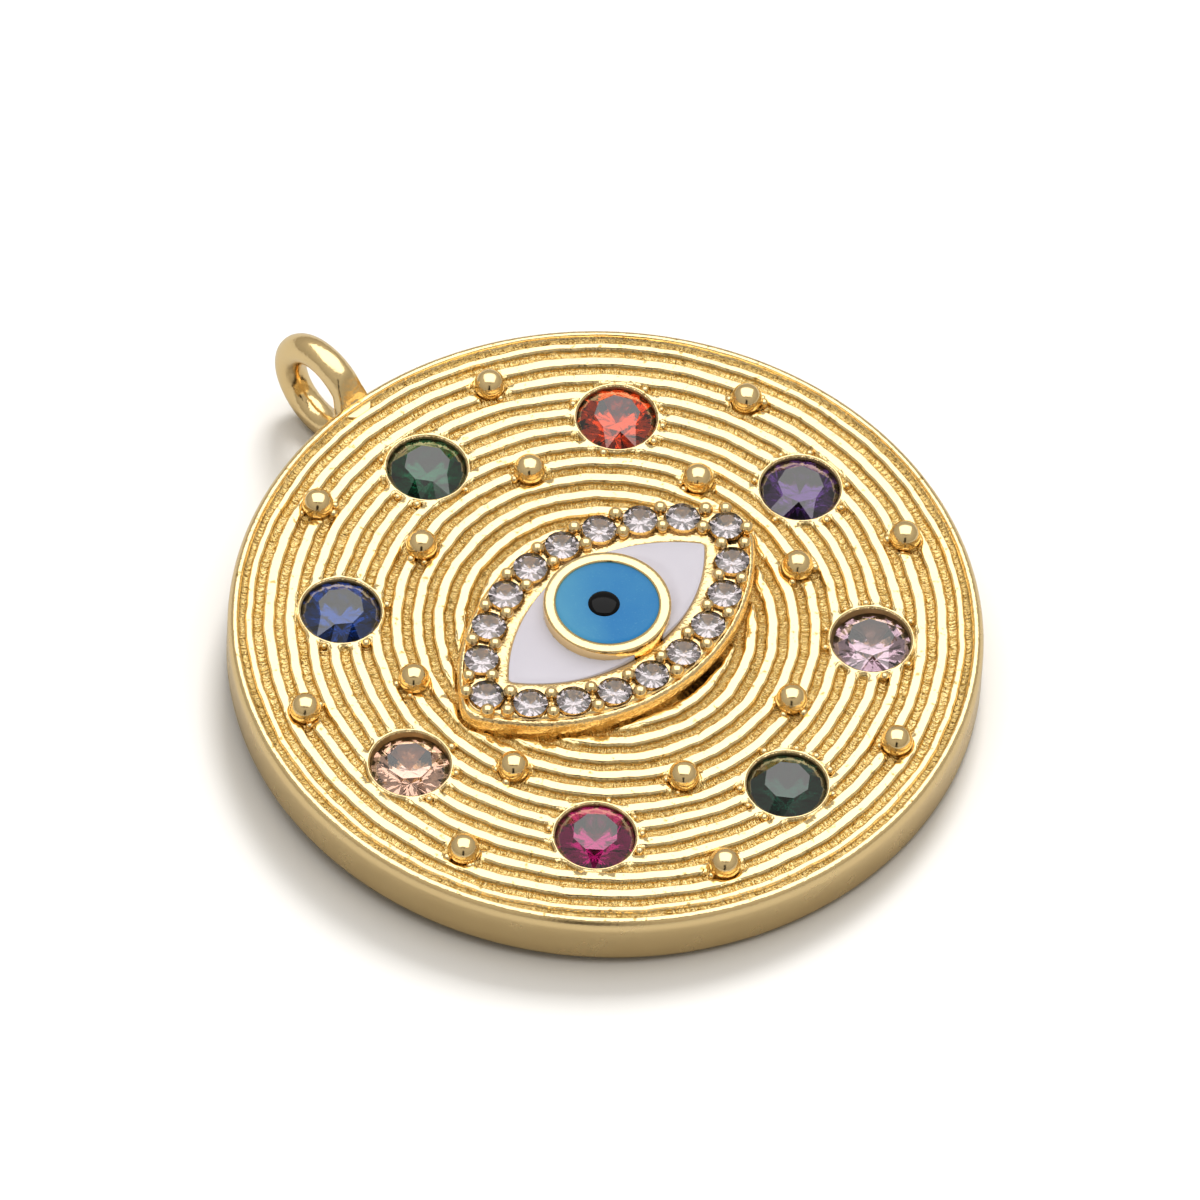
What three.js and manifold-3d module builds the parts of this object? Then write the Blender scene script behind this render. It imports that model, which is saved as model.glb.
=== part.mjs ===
// Evil eye pendant: a round brass disc with concentric grooves and a loop at the top. Its face has
// eight flush-set coloured stones and sixteen cast beads, and in the middle sits a raised eye: a
// pointed-oval plaque of small clear stones around white enamel, with a blue iris in a round bezel.
// Millimetres. The origin is the middle of the flat back, +Z points out of the face, +Y to the loop.

import * as THREE from 'three';
import { mergeVertices } from 'three/addons/utils/BufferGeometryUtils.js';
import { ConvexGeometry } from 'three/addons/geometries/ConvexGeometry.js';
import Module from 'manifold-3d';

const wasm = await Module();
wasm.setup();

// Clearances
const fitGap = 0.03;          // between pieces that touch on the real pendant
const plaqueGap = 0.12;       // dark line that runs around the foot of the eye
const cutPast = 1;            // how far a cutter reaches beyond the surface it cuts

// Disc
const discRadius = 12;
const backEdge = 0.35;        // chamfer around the back
const rimHeight = 1.92;
const rimRound = 0.25;
const ridgeHeight = 1.86;     // tops of the ridges between grooves
const grooveDepth = 0.2;
const floorHeight = ridgeHeight - grooveDepth;

// Facets around each kind of round piece
const discSegments = 40;
const collarSegments = 16;
const seatSegments = 12;
const stalkSegments = 8;
const bezelSegments = 28;
const pupilSegments = 14;
const outlineSteps = 12;

// Grooves: evenly spaced rings, and a narrower one just inside the rim
const firstGroove = 3.62;
const groovePitch = 0.673;
const grooveCount = 12;
const grooveFloor = 0.32;
const grooveMouth = 0.42;
const rimGroove = 11.54;
const rimGrooveScale = 0.75;

// Coloured stones, at eight compass points around the face
const stoneCircle = 8.42;
const stoneRadius = 1.22;
const stoneGirdle = 1.56;
const seatRadius = 1.255;
const collarRadius = 1.52;
const seatFoot = 0.2;         // radius and height of the bottom of the conical seat
const seatFootHeight = 0.4;
const stoneColours = {
  north: ['emerald', 0x0b5a40],
  north_east: ['orange', 0xc23a10],
  east: ['violet', 0x4a2a6c],
  south_east: ['pink', 0xc9a2b4],
  south: ['teal', 0x0f5247],
  south_west: ['ruby', 0x9b1460],
  west: ['champagne', 0xc79c7c],
  north_west: ['sapphire', 0x1d3f8f],
};

// Beads, in pairs on either side of the four main compass points
const beadRadius = 0.5;
const beadHeight = 2;
const stalkRadius = 0.4;
const beadRings = [
  { radius: 10.22, offset: 21.25 },
  { radius: 6.56, offset: 20.8 },
];

// Loop: a wire ring standing in the Y-Z plane, fused to the edge of the disc
const loopCentre = new THREE.Vector3(0, 13.36, 1.15);
const loopRadius = 1.51;
const loopWire = 0.5;

// Eye plaque: two arcs that mirror each other and meet in a rounded tip at each end
const arcDrop = 3.47;         // distance from the eye's long axis to the centre of each arc
const paveArc = 6.35;         // radius of the line that the small stones follow
const outlineArc = 7.07;
const outlineTip = 0.8;
const crownInset = 0.22;      // the top step of the plaque stands in from its lip
const enamelArc = 5.46;
const enamelTip = 0.15;
const lipHeight = 2.41;
const crownHeight = 2.5;
const enamelFloor = 2.2;
const enamelHeight = 2.44;

// Pave stones and the prongs between them
const paveRadius = 0.52;
const paveSeat = 0.56;
const paveGirdle = 2.63;
const paveStep = 12.35;       // degrees of arc from stone to stone
const paveTip = 5.17;
const prongRadius = 0.2;
const prongHeight = 2.62;
const prongOuter = paveArc + 0.38;
const prongInner = paveArc - 0.36;
const tipProngReach = 0.64;
const tipProngAngle = 50;

// Iris
const bezelOuter = 2.03;
const bezelInner = 1.63;
const bezelHeight = 3.05;
const bezelShoulder = 2.9;
const bezelFloor = 2.6;
const irisHeight = 2.96;
const pupilRadius = 0.49;
const pupilFoot = 2.85;
const pupilHeight = 3.06;
const pupilX = -0.07;         // the pupil sits slightly off centre
const pupilY = 0.08;

const goldColour = 0xd9b45a;
const gold = { color: goldColour, roughness: 0.22, metalness: 1 };
const glassy = { roughness: 0.05, metalness: 0 };
const enamel = { roughness: 0.12, metalness: 0 };

const radians = THREE.MathUtils.degToRad;

// A manifold solid from any closed three.js geometry
function solid(geometry) {
  const bare = geometry.clone();
  bare.deleteAttribute('normal');
  bare.deleteAttribute('uv');
  const merged = mergeVertices(bare, 1e-4);
  const index = Array.from(merged.index.array);
  const kept = [];
  for (let i = 0; i < index.length; i += 3) {
    const [a, b, c] = index.slice(i, i + 3);
    if (a !== b && b !== c && c !== a) {
      kept.push(a, b, c);
    }
  }
  return new wasm.Manifold(new wasm.Mesh({
    numProp: 3,
    vertProperties: new Float32Array(merged.attributes.position.array),
    triVerts: new Uint32Array(kept),
  }));
}

// A named three.js mesh from a manifold solid
function part(name, body, look) {
  const mesh = body.getMesh();
  const geometry = new THREE.BufferGeometry();
  geometry.setAttribute('position', new THREE.BufferAttribute(mesh.vertProperties, 3));
  geometry.setIndex(new THREE.BufferAttribute(mesh.triVerts, 1));
  geometry.computeVertexNormals();
  const result = new THREE.Mesh(geometry, new THREE.MeshStandardMaterial(look));
  result.name = name;
  return result;
}

// A solid turned about Z from [radius, height] points that start and end on the axis
function turned(profile, segments, x = 0, y = 0) {
  const points = profile.map(([radius, height]) => new THREE.Vector2(radius, height));
  const geometry = new THREE.LatheGeometry(points, segments);
  geometry.rotateX(Math.PI / 2);
  geometry.translate(x, y, 0);
  return solid(geometry);
}

function cylinder(radius, bottom, top, segments, x = 0, y = 0) {
  return turned([[0, bottom], [radius, bottom], [radius, top], [0, top]], segments, x, y);
}

function ball(radius, x, y, z, around, down) {
  const geometry = new THREE.SphereGeometry(radius, around, down);
  geometry.rotateX(Math.PI / 2);
  geometry.translate(x, y, z);
  return solid(geometry);
}

// The pointed oval with arcs of the given radius and a rounded tip, as a prism
function eyePrism(arc, tip, bottom, top) {
  const tipX = Math.sqrt((arc - tip) ** 2 - arcDrop ** 2);
  const turn = Math.atan2(arcDrop, tipX);
  const outline = new THREE.Shape();
  outline.absarc(0, -arcDrop, arc, Math.PI - turn, turn, true);
  outline.absarc(tipX, 0, tip, turn, -turn, true);
  outline.absarc(0, arcDrop, arc, -turn, turn - Math.PI, true);
  outline.absarc(-tipX, 0, tip, turn - Math.PI, -turn - Math.PI, true);
  const geometry = new THREE.ExtrudeGeometry(outline, {
    depth: top - bottom,
    bevelEnabled: false,
    curveSegments: outlineSteps,
  });
  geometry.translate(0, 0, bottom);
  return solid(geometry);
}

// A brilliant-cut stone: table, crown, thin girdle and pointed pavilion
function brilliant(radius, girdle, sides, x, y) {
  const tableRadius = 0.58 * radius;
  const crown = 0.25 * radius;
  const girdleHalf = 0.02 * radius;
  const pavilion = 0.84 * radius;
  const points = [new THREE.Vector3(x, y, girdle - pavilion)];
  const ring = (count, ringRadius, height, shift) => {
    for (let i = 0; i < count; i += 1) {
      const angle = ((i + shift) / count) * 2 * Math.PI;
      points.push(new THREE.Vector3(
        x + ringRadius * Math.cos(angle),
        y + ringRadius * Math.sin(angle),
        height,
      ));
    }
  };
  ring(2 * sides, radius, girdle - girdleHalf, 0);
  ring(2 * sides, radius, girdle + girdleHalf, 0);
  ring(sides, tableRadius, girdle + crown, 0.5);
  return solid(new ConvexGeometry(points));
}

// Places on a circle around the disc's axis, counted anticlockwise from +X in degrees
function onCircle(radius, degrees) {
  return [radius * Math.cos(radians(degrees)), radius * Math.sin(radians(degrees))];
}

// A place on the upper or lower arc of the eye, in degrees from the eye's short axis
function onArc(arc, degrees, side) {
  return [arc * Math.sin(radians(degrees)), side * (arc * Math.cos(radians(degrees)) - arcDrop)];
}

function groovePoints(centre, scale) {
  const floor = (scale * grooveFloor) / 2;
  const mouth = (scale * grooveMouth) / 2;
  return [
    [centre + mouth, ridgeHeight],
    [centre + floor, floorHeight],
    [centre - floor, floorHeight],
    [centre - mouth, ridgeHeight],
  ];
}

function stonePlaces() {
  return Object.keys(stoneColours).map((name, i) => [name, ...onCircle(stoneCircle, 90 - 45 * i)]);
}

function beadPlaces() {
  const places = [];
  for (const { radius, offset } of beadRings) {
    for (let quarter = 0; quarter < 360; quarter += 90) {
      places.push(onCircle(radius, quarter - offset), onCircle(radius, quarter + offset));
    }
  }
  return places;
}

function discBody() {
  const profile = [
    [0, 0],
    [discRadius - backEdge, 0],
    [discRadius, backEdge],
    [discRadius, rimHeight - rimRound],
    [discRadius - 0.3 * rimRound, rimHeight - 0.3 * rimRound],
    [discRadius - rimRound, rimHeight],
    ...groovePoints(rimGroove, rimGrooveScale),
  ];
  for (let i = grooveCount - 1; i >= 0; i -= 1) {
    profile.push(...groovePoints(firstGroove + i * groovePitch, 1));
  }
  profile.push([0, ridgeHeight]);
  let body = turned(profile, discSegments);
  for (const [, x, y] of stonePlaces()) {
    body = body.add(cylinder(collarRadius, floorHeight / 2, ridgeHeight, collarSegments, x, y));
    const seat = [
      [0, seatFootHeight],
      [seatFoot, seatFootHeight],
      [seatRadius, stoneGirdle - 2 * fitGap],
      [seatRadius, rimHeight + cutPast],
      [0, rimHeight + cutPast],
    ];
    body = body.subtract(turned(seat, collarSegments, x, y));
  }
  for (const [x, y] of beadPlaces()) {
    body = body.add(cylinder(stalkRadius, floorHeight / 2, beadHeight, stalkSegments, x, y));
    body = body.add(ball(beadRadius, x, y, beadHeight, stalkSegments, 6));
  }
  const pocket = eyePrism(outlineArc + plaqueGap, outlineTip + plaqueGap, floorHeight,
    rimHeight + cutPast);
  return body.subtract(pocket);
}

function loop() {
  const geometry = new THREE.TorusGeometry(loopRadius, loopWire, 12, 28);
  geometry.rotateY(Math.PI / 2);
  geometry.translate(loopCentre.x, loopCentre.y, loopCentre.z);
  const edge = cylinder(discRadius + fitGap, -2 * loopRadius, 4 * loopRadius, discSegments);
  return solid(geometry).subtract(edge);
}

// Centres of the small stones: eight along each arc and one at each tip
function pavePlaces() {
  const places = [[paveTip, 0]];
  for (const side of [1, -1]) {
    for (let i = 3.5; i >= -3.5; i -= 1) {
      places.push(onArc(paveArc, side * i * paveStep, side));
    }
    if (side === 1) {
      places.push([-paveTip, 0]);
    }
  }
  return places;
}

// Prongs stand in pairs between neighbouring stones, with two more around each tip
function prongPlaces() {
  const places = [];
  for (const side of [1, -1]) {
    for (let i = -4; i <= 4; i += 1) {
      places.push(onArc(prongOuter, i * paveStep, side), onArc(prongInner, i * paveStep, side));
    }
    const tipX = paveTip + tipProngReach * Math.cos(radians(tipProngAngle));
    const tipY = side * tipProngReach * Math.sin(radians(tipProngAngle));
    places.push([tipX, tipY], [-tipX, tipY]);
  }
  return places;
}

function eyePlaque() {
  let body = eyePrism(outlineArc, outlineTip, floorHeight + fitGap, lipHeight);
  body = body.add(eyePrism(outlineArc - crownInset, outlineTip - crownInset, lipHeight - crownInset,
    crownHeight));
  for (const [x, y] of prongPlaces()) {
    body = body.add(ball(prongRadius, x, y, prongHeight, 5, 4));
  }
  for (const [x, y] of pavePlaces()) {
    const seat = [
      [0, paveGirdle - paveRadius],
      [paveSeat, paveGirdle - 2 * fitGap],
      [paveSeat, crownHeight + cutPast],
      [0, crownHeight + cutPast],
    ];
    body = body.subtract(turned(seat, seatSegments, x, y));
  }
  body = body.subtract(eyePrism(enamelArc, enamelTip, enamelFloor, crownHeight + cutPast));
  const bezelSeat = cylinder(bezelOuter + fitGap, enamelFloor, crownHeight + cutPast,
    bezelSegments);
  return body.subtract(bezelSeat);
}

// White enamel on one side of the iris; side is -1 for left and 1 for right
function whiteEnamel(side) {
  const fill = eyePrism(enamelArc - fitGap, enamelTip - fitGap, enamelFloor + fitGap, enamelHeight);
  const half = new THREE.BoxGeometry(discRadius, discRadius, discRadius);
  half.translate((side * discRadius) / 2, 0, 0);
  const iris = cylinder(bezelOuter + 2 * fitGap, 0, bezelHeight, bezelSegments);
  return fill.intersect(solid(half)).subtract(iris);
}

function irisBezel() {
  const middle = (bezelOuter + bezelInner) / 2;
  return turned([
    [0, enamelFloor + fitGap],
    [bezelOuter, enamelFloor + fitGap],
    [bezelOuter, bezelShoulder],
    [middle, bezelHeight],
    [bezelInner, bezelShoulder + fitGap],
    [bezelInner, bezelFloor],
    [0, bezelFloor],
  ], bezelSegments);
}

function irisEnamel() {
  const disc = cylinder(bezelInner - fitGap, bezelFloor + fitGap, irisHeight, bezelSegments);
  const hollow = cylinder(pupilRadius + fitGap, pupilFoot - fitGap, irisHeight + cutPast,
    pupilSegments, pupilX, pupilY);
  return disc.subtract(hollow);
}

function pupil() {
  return turned([
    [0, pupilFoot],
    [pupilRadius, pupilFoot],
    [pupilRadius, irisHeight],
    [0.6 * pupilRadius, pupilHeight - fitGap],
    [0, pupilHeight],
  ], pupilSegments, pupilX, pupilY);
}

const disc = new THREE.Group();
disc.add(part('disc_body', discBody(), gold));
disc.add(part('loop', loop(), gold));
for (const [name, x, y] of stonePlaces()) {
  const [colourName, color] = stoneColours[name];
  const stone = brilliant(stoneRadius, stoneGirdle, 8, x, y);
  disc.add(part(`stone_${name}_${colourName}`, stone, { color, ...glassy }));
}

const eye = new THREE.Group();
eye.add(part('eye_plaque', eyePlaque(), gold));
eye.add(part('iris_bezel', irisBezel(), gold));
eye.add(part('enamel_white_left', whiteEnamel(-1), { color: 0xdcd8e4, ...enamel }));
eye.add(part('enamel_white_right', whiteEnamel(1), { color: 0xdcd8e4, ...enamel }));
eye.add(part('enamel_iris_blue', irisEnamel(), { color: 0x4796cc, ...enamel }));
eye.add(part('pupil_black', pupil(), { color: 0x1c1c1e, ...enamel }));
pavePlaces().forEach(([x, y], i) => {
  const name = `pave_stone_${String(i + 1).padStart(2, '0')}`;
  const stone = brilliant(paveRadius, paveGirdle, 6, x, y);
  eye.add(part(name, stone, { color: 0xd4ccd4, ...glassy }));
});

const pendant = new THREE.Group();
pendant.add(disc, eye);

export default pendant;
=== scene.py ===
"""Looks of the evil eye pendant: gold-plated casting, cut stones and enamel around the CAD frame.

Shapes are worked out in millimetres in the CAD's own frame and stored in metres.
The face of the disc and the top of the eye plaque are relief surfaces: rings of points that follow
every groove, seat and edge, joined by a constrained triangulation and then raised to their height.
"""

import math

import bmesh
import bpy
import numpy as np
from mathutils import Matrix, Vector
from mathutils.geometry import delaunay_2d_cdt


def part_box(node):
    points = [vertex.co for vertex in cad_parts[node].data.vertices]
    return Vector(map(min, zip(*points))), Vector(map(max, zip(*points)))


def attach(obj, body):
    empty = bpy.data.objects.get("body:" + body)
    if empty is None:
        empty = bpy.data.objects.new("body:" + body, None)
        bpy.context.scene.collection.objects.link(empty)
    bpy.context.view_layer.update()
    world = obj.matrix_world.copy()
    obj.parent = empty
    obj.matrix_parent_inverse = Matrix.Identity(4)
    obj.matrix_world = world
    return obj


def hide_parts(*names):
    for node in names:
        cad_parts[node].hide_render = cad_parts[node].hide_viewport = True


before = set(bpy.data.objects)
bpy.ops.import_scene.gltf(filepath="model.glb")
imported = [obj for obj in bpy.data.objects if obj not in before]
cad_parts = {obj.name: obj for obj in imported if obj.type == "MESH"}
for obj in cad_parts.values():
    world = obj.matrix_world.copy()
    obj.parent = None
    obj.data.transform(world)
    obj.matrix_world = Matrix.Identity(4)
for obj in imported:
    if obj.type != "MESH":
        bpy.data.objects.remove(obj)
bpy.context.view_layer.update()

MM = 0.001
rng = np.random.default_rng(11)

# Disc
DISC_RADIUS = 12.0
RIM_HEIGHT = 1.93
RIM_CREST = 11.76           # radius of the highest line of the rim
RIM_DROP = 0.42             # height of the rounding from the crest to the side wall
BACK_EDGE = 0.32
RIDGE = 1.86
GROOVE_DEPTH = 0.20
RIDGE_ROUND = 0.035          # how far a ridge falls away towards the middle of a groove
FLOOR = RIDGE - GROOVE_DEPTH
GROOVE_HALF = 0.168         # half the width of a groove's mouth
GROOVE_PITCH = 0.673
FIRST_GROOVE = 3.62
GROOVE_COUNT = 12
RIM_GROOVE = 11.54
RIM_GROOVE_SCALE = 0.80
POINT_STEP = 0.155          # spacing of the points along a groove

# Stone seats and beads
SEAT_RADIUS = 1.265
COLLAR_START = 1.35         # the collar is level up to here and blends into the grooves up to COLLAR_END
COLLAR_END = 1.46
SEAT_FLOOR = 0.45
SEAT_RINGS = (0.2, 0.7, 1.2, 1.235, 1.25, 1.265, 1.285, 1.31, 1.33, 1.345, 1.37, 1.40, 1.425, 1.45, 1.49)
BEAD_RADIUS = 0.50
BEAD_HEIGHT = 1.99
BEAD_RINGS = [(10.22, 21.25), (6.56, 20.8)]
LOOP_MIDDLE_Y = 13.36

# Coloured stones
STONE_RADIUS = SEAT_RADIUS - 0.008
STONE_CROWN = 0.37          # from the girdle up to the table
STONE_CULET = 0.62          # height of the lowest point
STONE_GIRDLE = 1.67
PALE_GIRDLE = 1.58          # the pale stones sit lower in their seats

# Eye: two arcs that mirror each other and meet in rounded tips
ARC_DROP = 3.47
OUTLINE_ARC, OUTLINE_TIP = 7.07, 0.8
ENAMEL_ARC, ENAMEL_TIP = 5.46, 0.15
PAVE_ARC = 6.35
PAVE_STEP = math.radians(12.35)
PAVE_TIP = 5.17
LIP = 2.41
# A fine step and a rounded edge: distance outwards from the crown's edge, and down from the lip
LIP_PROFILE = (
    (0.012, 0.03), (0.03, 0.05), (0.05, 0.03), (0.07, 0.005), (0.10, 0.0), (0.14, 0.015),
    (0.18, 0.045), (0.215, 0.09), (0.24, 0.15), (0.25, 0.22), (0.25, 0.41), (0.25, 0.96),
)
CROWN = 2.50
PRONG_HEIGHT = 2.62
ENAMEL = 2.43
BEZEL_OUTER, BEZEL_INNER, BEZEL_TOP = 2.03, 1.63, 3.05
IRIS = 2.93
IRIS_PALE_SIDE = (-0.7 / MM, 0.7 / MM, 0)    # per metre: the blue is paler towards this side


# ---------------------------------------------------------------- small helpers


def smooth(low, high, value):
    """0 below low, 1 above high, and a smooth S between them."""
    t = np.clip((value - low) / (high - low), 0, 1)
    return t * t * (3 - 2 * t)


def mix(a, b, share):
    return a + (b - a) * share


def circle(radius, count, x=0.0, y=0.0, shift=0.0):
    """count points on a circle, anticlockwise."""
    angle = (np.arange(count) + shift) * 2 * math.pi / count
    return np.column_stack([x + radius * np.cos(angle), y + radius * np.sin(angle)])


def eye_ring(arc, tip, step):
    """Points about step apart on the eye outline with these arc and tip radii, anticlockwise."""
    tip_x = math.sqrt((arc - tip) ** 2 - ARC_DROP**2)
    turn = math.atan2(ARC_DROP, tip_x)
    ring = []
    for centre_x, centre_y, radius, start, sweep in [
        (tip_x, 0, tip, -turn, 2 * turn),
        (0, -ARC_DROP, arc, turn, math.pi - 2 * turn),
        (-tip_x, 0, tip, math.pi - turn, 2 * turn),
        (0, ARC_DROP, arc, math.pi + turn, math.pi - 2 * turn),
    ]:
        count = max(6, round(sweep * radius / step))
        angle = start + sweep * np.arange(count) / count
        ring.append(np.column_stack([centre_x + radius * np.cos(angle), centre_y + radius * np.sin(angle)]))
    return np.vstack(ring)


def eye_distance(x, y, arc, tip):
    """Distance outside the eye outline with these radii, negative inside it."""
    tip_x = math.sqrt((arc - tip) ** 2 - ARC_DROP**2)
    turn = math.atan2(ARC_DROP, tip_x)
    by_tip = np.abs(np.arctan2(y, np.abs(x) - tip_x)) < turn
    to_tip = np.hypot(np.abs(x) - tip_x, y) - tip
    to_arc = np.hypot(x, np.abs(y) + ARC_DROP) - arc
    return np.where(by_tip, to_tip, to_arc)


def waves(angle, radius, counts, size):
    """A gentle irregular wave around the disc that also drifts with radius."""
    total = np.zeros_like(angle)
    for count in counts:
        phase, drift = rng.uniform(0, 2 * math.pi), rng.uniform(-1.5, 1.5)
        total += np.sin(count * angle + phase + drift * radius)
    return size * total / math.sqrt(len(counts))


def triangulate(rings, keep):
    """Triangles over rings of XY points, all of whose edges are kept.

    A ring is (points, mask), and a point outside its mask is left out. keep(x, y) says which
    triangles stay, by their middles. Returns XY points, triangles and each ring's point numbers.
    """
    points, edges, numbers = [], [], []
    for ring, mask in rings:
        number = np.full(len(ring), -1)
        number[mask] = len(points) + np.arange(mask.sum())
        points.extend(map(Vector, ring[mask]))
        following = np.roll(number, -1)
        linked = (number >= 0) & (following >= 0)
        edges.extend(zip(number[linked].tolist(), following[linked].tolist()))
        numbers.append(number[mask])
    flat, _, triangles, origins, _, _ = delaunay_2d_cdt(points, edges, [], 0, 1e-6, True)
    place = np.zeros(len(points), int)
    for new, olds in enumerate(origins):
        place[list(olds)] = new
    xy = np.array([tuple(p) for p in flat])
    triangles = np.array(triangles)
    corner = xy[triangles]
    first, second = corner[:, 1] - corner[:, 0], corner[:, 2] - corner[:, 0]
    turned = first[:, 0] * second[:, 1] - first[:, 1] * second[:, 0] < 0
    triangles[turned] = triangles[turned][:, ::-1]
    middle = corner.mean(1)
    triangles = triangles[keep(middle[:, 0], middle[:, 1])]
    return xy, triangles, [place[n] for n in numbers]


class Shape:
    """Points in millimetres and faces, gathered for one mesh."""

    def __init__(self):
        self.points, self.faces, self.materials = [], [], []

    def add(self, points):
        start = len(self.points)
        self.points.extend(np.asarray(points, float).tolist())
        return np.arange(start, len(self.points))

    def face(self, corners, material=0):
        self.faces.append(tuple(int(c) for c in corners))
        self.materials.append(material)

    def band(self, inner, outer, material=0):
        """Quads between two closed rings with the same number of points."""
        count = len(inner)
        for i in range(count):
            j = (i + 1) % count
            self.face((inner[i], outer[i], outer[j], inner[j]), material)

    def lathe(self, profile, segments, x=0.0, y=0.0):
        """Turns (radius, height) points about an upright axis. Both ends are closed."""
        rings = [
            self.add(np.column_stack([circle(r, segments, x, y), np.full(segments, z)])) for r, z in profile
        ]
        for lower, upper in zip(rings, rings[1:]):
            self.band(lower, upper)
        self.face(rings[0])
        self.face(rings[-1][::-1])

    def ball(self, centre, radius, around=20, down=12, squash=1.0):
        """A closed ball, its height scaled by squash."""
        rings = []
        for i in range(1, down):
            lean = math.pi * i / down
            ring = circle(radius * math.sin(lean), around, centre[0], centre[1])
            height = centre[2] + squash * radius * math.cos(lean)
            rings.append(self.add(np.column_stack([ring, np.full(around, height)])))
        for upper, lower in zip(rings, rings[1:]):
            self.band(upper, lower)
        top, bottom = self.add([
            (centre[0], centre[1], centre[2] + squash * radius),
            (centre[0], centre[1], centre[2] - squash * radius),
        ])
        for i in range(around):
            j = (i + 1) % around
            self.face((top, rings[0][i], rings[0][j]))
            self.face((bottom, rings[-1][j], rings[-1][i]))

    def build(self, name, materials, replaced, smoothed=True):
        """Makes the object, which rides on the one body and stands for CAD nodes."""
        mesh = bpy.data.meshes.new(name)
        mesh.from_pydata((np.array(self.points) * MM).tolist(), [], self.faces)
        for material in materials:
            mesh.materials.append(material)
        mesh.polygons.foreach_set("material_index", self.materials)
        mesh.polygons.foreach_set("use_smooth", [smoothed] * len(self.faces))
        work = bmesh.new()
        work.from_mesh(mesh)
        bmesh.ops.recalc_face_normals(work, faces=work.faces)
        work.to_mesh(mesh)
        work.free()
        made = bpy.data.objects.new(name, mesh)
        bpy.context.scene.collection.objects.link(made)
        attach(made, "root")
        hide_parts(*replaced)
        return made


# ---------------------------------------------------------------- materials


def new_material(name):
    material = bpy.data.materials.new(name)
    material.use_nodes = True
    tree = material.node_tree
    return material, tree.nodes, tree.links, tree.nodes["Principled BSDF"]


def noise(nodes, links, vector, scale, detail=2.0):
    node = nodes.new("ShaderNodeTexNoise")
    node.inputs["Scale"].default_value = scale
    node.inputs["Detail"].default_value = detail
    links.new(vector, node.inputs["Vector"])
    return node.outputs["Fac"]


def math_node(nodes, links, operation, first, second=None):
    node = nodes.new("ShaderNodeMath")
    node.operation = operation
    for socket, value in zip(node.inputs, (first, second)):
        if isinstance(value, (int, float)):
            socket.default_value = value
        elif value is not None:
            links.new(value, socket)
    return node.outputs["Value"]


def mapped(nodes, links, value, low, high, to_low, to_high):
    node = nodes.new("ShaderNodeMapRange")
    for socket, number in zip(list(node.inputs)[1:5], (low, high, to_low, to_high)):
        socket.default_value = number
    links.new(value, node.inputs["Value"])
    return node.outputs["Result"]


def blended(nodes, links, share, first, second):
    """A mix of two colours, each of them three numbers or another node's output."""
    node = nodes.new("ShaderNodeMix")
    node.data_type = "RGBA"
    for name, colour in (("A", first), ("B", second)):
        if isinstance(colour, tuple):
            node.inputs[name].default_value = (*colour, 1)
        else:
            links.new(colour, node.inputs[name])
    links.new(share, node.inputs["Factor"])
    return node.outputs["Result"]


def bumped(nodes, links, height, depth_mm, strength=1.0, under=None):
    node = nodes.new("ShaderNodeBump")
    node.inputs["Distance"].default_value = depth_mm * MM
    node.inputs["Strength"].default_value = strength
    links.new(height, node.inputs["Height"])
    if under is not None:
        links.new(under, node.inputs["Normal"])
    return node.outputs["Normal"]


GOLD_PALE = (1.0, 0.80, 0.48)
GOLD_DEEP = (0.98, 0.76, 0.43)
GOLD_RECESS = (0.97, 0.77, 0.42)
# painted shade: darker gold for the low parts of the floor striae
GOLD_STRIA_SHADE = (0.74, 0.54, 0.22)
# painted shade: dark gold for the groove walls and the pit spots
GOLD_PAINTED_SHADE = (0.45, 0.32, 0.13)
# painted shadow: the sunk gap along the plaque's lower side
GOLD_GAP_SHADE = (0.34, 0.23, 0.10)
# painted shade: the stone seats are a darker gold, for the shade under the stones
GOLD_SEAT_SHADE = (0.70, 0.54, 0.30)
GOLD_SEAT_DEEP_SHADE = (0.50, 0.37, 0.18)


def plain_gold(name, rough_low, rough_high, grain_mm, grain_depth, first=GOLD_DEEP, second=GOLD_PALE):
    """Polished plating: colour, gloss and a fine orange-peel grain all wander a little."""
    material, nodes, links, shader = new_material(name)
    place = nodes.new("ShaderNodeTexCoord").outputs["Object"]
    shader.inputs["Metallic"].default_value = 1.0
    broad = noise(nodes, links, place, 600, 3)
    fine = noise(nodes, links, place, 1 / (grain_mm * MM), 3)
    links.new(blended(nodes, links, broad, first, second), shader.inputs["Base Color"])
    links.new(mapped(nodes, links, broad, 0.3, 0.7, rough_low, rough_high), shader.inputs["Roughness"])
    links.new(bumped(nodes, links, fine, grain_depth), shader.inputs["Normal"])
    return material


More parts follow.
